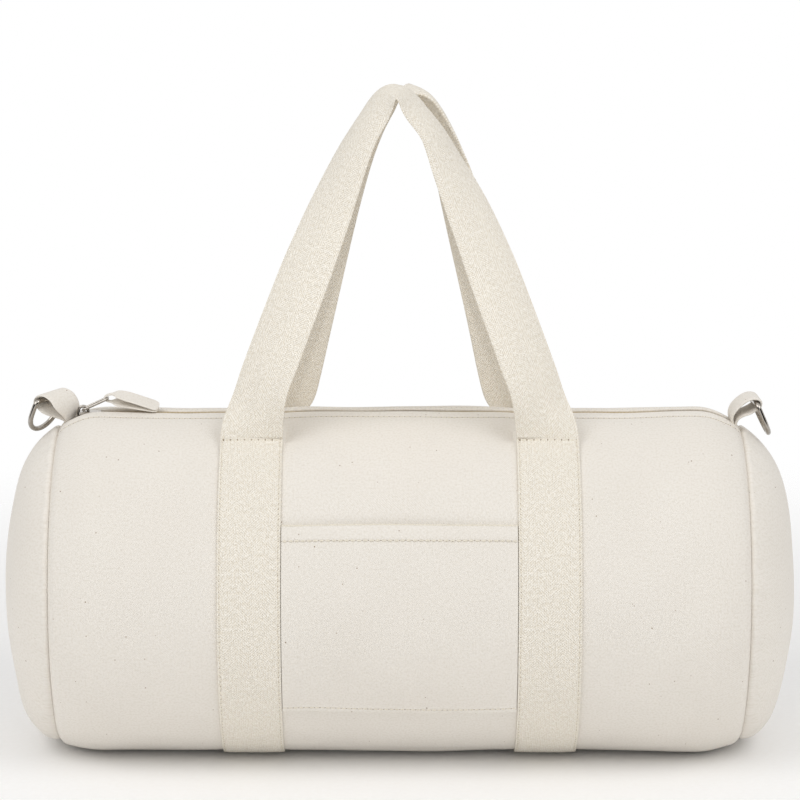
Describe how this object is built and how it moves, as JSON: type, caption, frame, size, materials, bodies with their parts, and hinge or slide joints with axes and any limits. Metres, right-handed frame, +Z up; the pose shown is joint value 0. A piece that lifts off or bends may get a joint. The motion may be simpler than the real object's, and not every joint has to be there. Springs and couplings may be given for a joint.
{
  "type": "barrel bag",
  "caption": "Round canvas barrel bag with a zipped mouth that folds open, webbing handles, a front patch pocket and D-rings on end tabs for a strap.",
  "frame": {"origin": "middle of the base, on the floor", "axes": "+X along the barrel to the right as seen from the pocket side, -Y towards the pocket side, +Z up"},
  "size_m": [0.582, 0.2572, 0.4894],
  "materials": {
    "canvas": "plain-weave cotton canvas, undyed",
    "webbing": "herringbone cotton webbing, undyed",
    "seam_binding": "cotton tape",
    "thread": "thick cotton thread",
    "zip_tape": "woven zip tape",
    "zip_teeth": "moulded nylon, tan",
    "nickel": "polished nickel plate"
  },
  "bodies": {
    "bag": {"main_panel": "canvas", "end_panel_left": "canvas", "end_panel_right": "canvas", "seam_binding_left": "seam_binding", "seam_binding_right": "seam_binding", "strap_wrap_left": "webbing", "strap_wrap_right": "webbing", "ring_tab_left": "canvas", "ring_tab_right": "canvas", "zip_end_tape_left": "zip_tape", "zip_end_tape_right": "zip_tape", "zip_end_teeth_left": "zip_teeth", "zip_end_teeth_right": "zip_teeth", "zip_top_stops": "zip_teeth", "zip_bottom_stop": "zip_teeth"},
    "front_wall": {"front_mouth_wall": "canvas", "front_strap_left": "webbing", "front_strap_right": "webbing", "zip_tape_front": "zip_tape", "zip_teeth_front": "zip_teeth", "front_handle_stitches": "thread"},
    "rear_wall": {"rear_mouth_wall": "canvas", "rear_strap_left": "webbing", "rear_strap_right": "webbing", "zip_tape_rear": "zip_tape", "zip_teeth_rear": "zip_teeth", "rear_handle_stitches": "thread"},
    "front_handle": {"front_handle": "webbing"},
    "rear_handle": {"rear_handle": "webbing"},
    "pocket": {"front_pocket": "canvas"},
    "slider": {"zip_slider": "nickel"},
    "pull_link": {"zip_pull_link": "nickel"},
    "pull_tab": {"zip_pull_tab": "canvas"},
    "ring_left": {"d_ring_left": "nickel"},
    "ring_right": {"d_ring_right": "nickel"}
  },
  "joints": [
    {"name": "front_wall_open", "type": "hinge", "parent": "bag", "child": "front_wall", "pos_m": [0, -0.09547, 0.20559], "axis": [1, 0, 0], "range_deg": [0, 42]},
    {"name": "rear_wall_open", "type": "hinge", "parent": "bag", "child": "rear_wall", "pos_m": [0, 0.09547, 0.20559], "axis": [-1, 0, 0], "range_deg": [0, 42]},
    {"name": "front_handle_swing", "type": "hinge", "parent": "front_wall", "child": "front_handle", "pos_m": [0, -0.05025, 0.24098], "axis": [1, 0, 0], "range_deg": [0, 95]},
    {"name": "rear_handle_swing", "type": "hinge", "parent": "rear_wall", "child": "rear_handle", "pos_m": [0, 0.07917, 0.22394], "axis": [-1, 0, 0], "range_deg": [0, 105]},
    {"name": "pocket_gape", "type": "hinge", "parent": "bag", "child": "pocket", "pos_m": [0, -0.10795, 0.05383], "axis": [1, 0, 0], "range_deg": [0, 9], "stiffness_Nm_per_rad": 0.2, "springref_deg": -2.86},
    {"name": "zip_slide", "type": "slide", "parent": "bag", "child": "slider", "axis": [1, 0, 0], "range_m": [0, 0.412]},
    {"name": "pull_link_flip", "type": "hinge", "parent": "slider", "child": "pull_link", "pos_m": [-0.232, 0, 0.2513], "axis": [0, -1, 0], "range_deg": [0, 100]},
    {"name": "pull_tab_flip", "type": "hinge", "parent": "pull_link", "child": "pull_tab", "pos_m": [-0.21387, 0, 0.25975], "axis": [0, -1, 0], "range_deg": [0, 70]},
    {"name": "ring_left_swing", "type": "hinge", "parent": "bag", "child": "ring_left", "pos_m": [-0.25756, 0.00809, 0.25752], "axis": [0.5736, 0.8192, 0], "range_deg": [0, 150]},
    {"name": "ring_right_swing", "type": "hinge", "parent": "bag", "child": "ring_right", "pos_m": [0.26007, 0.00098, 0.25752], "axis": [0.0698, -0.9976, 0], "range_deg": [0, 150]}
  ]
}
